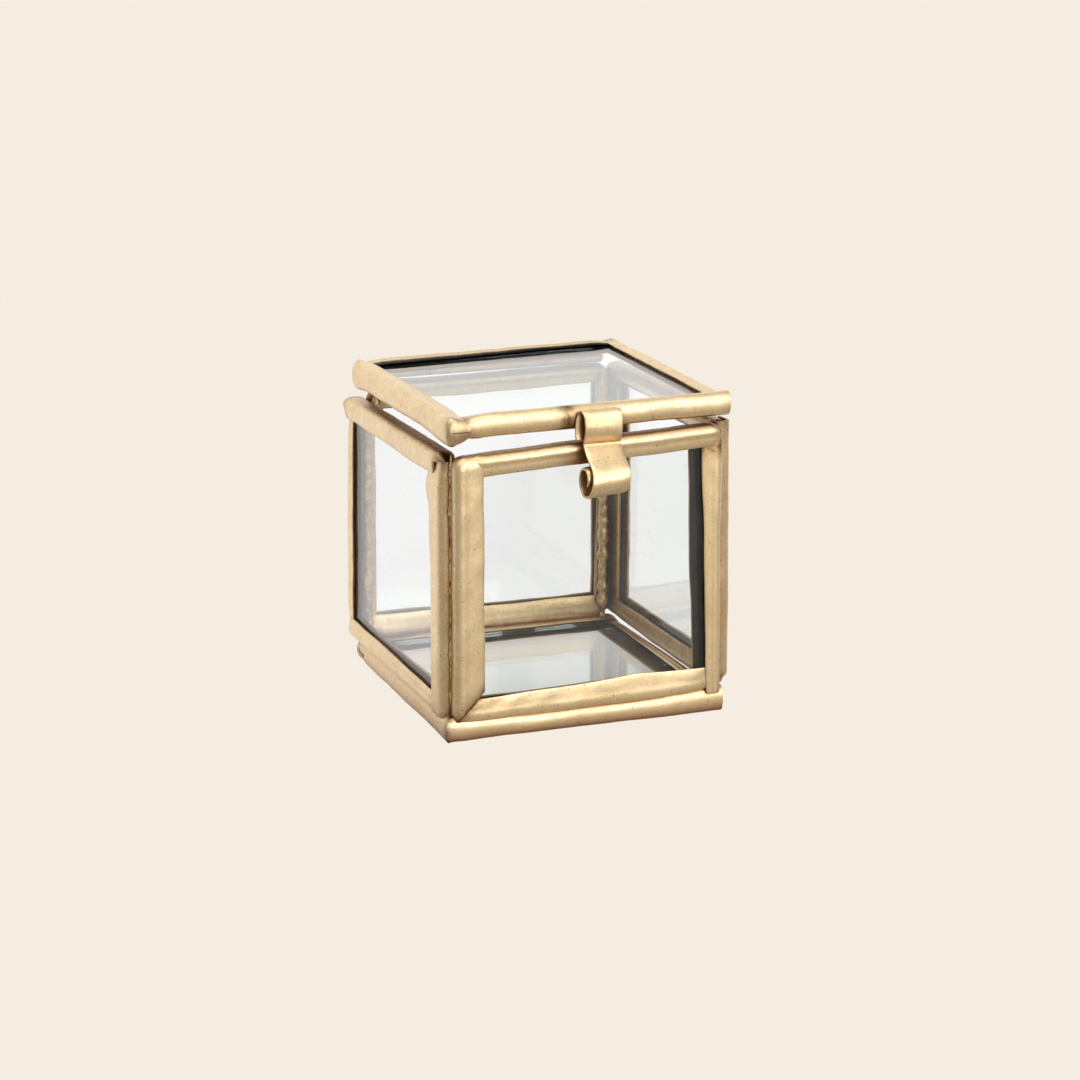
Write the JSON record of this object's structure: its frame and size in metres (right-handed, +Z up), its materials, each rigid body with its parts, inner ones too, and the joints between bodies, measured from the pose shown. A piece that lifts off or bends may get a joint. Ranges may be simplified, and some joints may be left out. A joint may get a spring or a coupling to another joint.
{
  "type": "glass keepsake box",
  "caption": "Small cube-shaped keepsake box of glass panes in folded brass channel, with a hinged glass lid and a curled spring clasp.",
  "frame": {"origin": "middle of the bounding box's base, on the surface the box stands on", "axes": "+Z up, -Y towards the clasp at the front, +X to the right seen from the front"},
  "size_m": [0.0466, 0.0526, 0.0501],
  "materials": {
    "brass": "satin, hand-rubbed, unlacquered",
    "glass": "clear float glass",
    "solder": "dull, brass-washed soft solder"
  },
  "bodies": {
    "box": {"base_channel_bottom": "brass", "base_channel_right": "brass", "base_channel_top": "brass", "base_channel_left": "brass", "base_pane": "glass", "front_channel_bottom": "brass", "front_channel_right": "brass", "front_channel_top": "brass", "front_channel_left": "brass", "front_pane": "glass", "right_channel_bottom": "brass", "right_channel_right": "brass", "right_channel_top": "brass", "right_channel_left": "brass", "right_pane": "glass", "back_channel_bottom": "brass", "back_channel_right": "brass", "back_channel_top": "brass", "back_channel_left": "brass", "back_pane": "glass", "left_channel_bottom": "brass", "left_channel_right": "brass", "left_channel_top": "brass", "left_channel_left": "brass", "left_pane": "glass", "hinge_tube_left": "brass", "hinge_tube_right": "brass", "hinge_pin": "brass", "solder_seam_front_left": "solder", "solder_seam_front_right": "solder", "solder_seam_back_left": "solder", "solder_seam_back_right": "solder", "solder_tack_front_left": "solder", "solder_tack_front_right": "solder", "solder_tack_back_left": "solder", "solder_tack_back_right": "solder"},
    "lid": {"lid_channel_bottom": "brass", "lid_channel_right": "brass", "lid_channel_top": "brass", "lid_channel_left": "brass", "lid_pane": "glass", "hinge_tube_middle": "brass", "clasp_loop": "brass"},
    "clasp": {"clasp_tongue": "brass"}
  },
  "joints": [
    {"name": "lid_hinge", "type": "hinge", "parent": "box", "child": "lid", "pos_m": [0, 0.02473, 0.0456], "axis": [-1, 0, 0], "range_deg": [0, 110]},
    {"name": "clasp_flex", "type": "hinge", "parent": "lid", "child": "clasp", "pos_m": [0.0015, -0.02218, 0.0461], "axis": [-1, 0, 0], "range_deg": [0, 8], "stiffness_Nm_per_rad": 0.6}
  ]
}
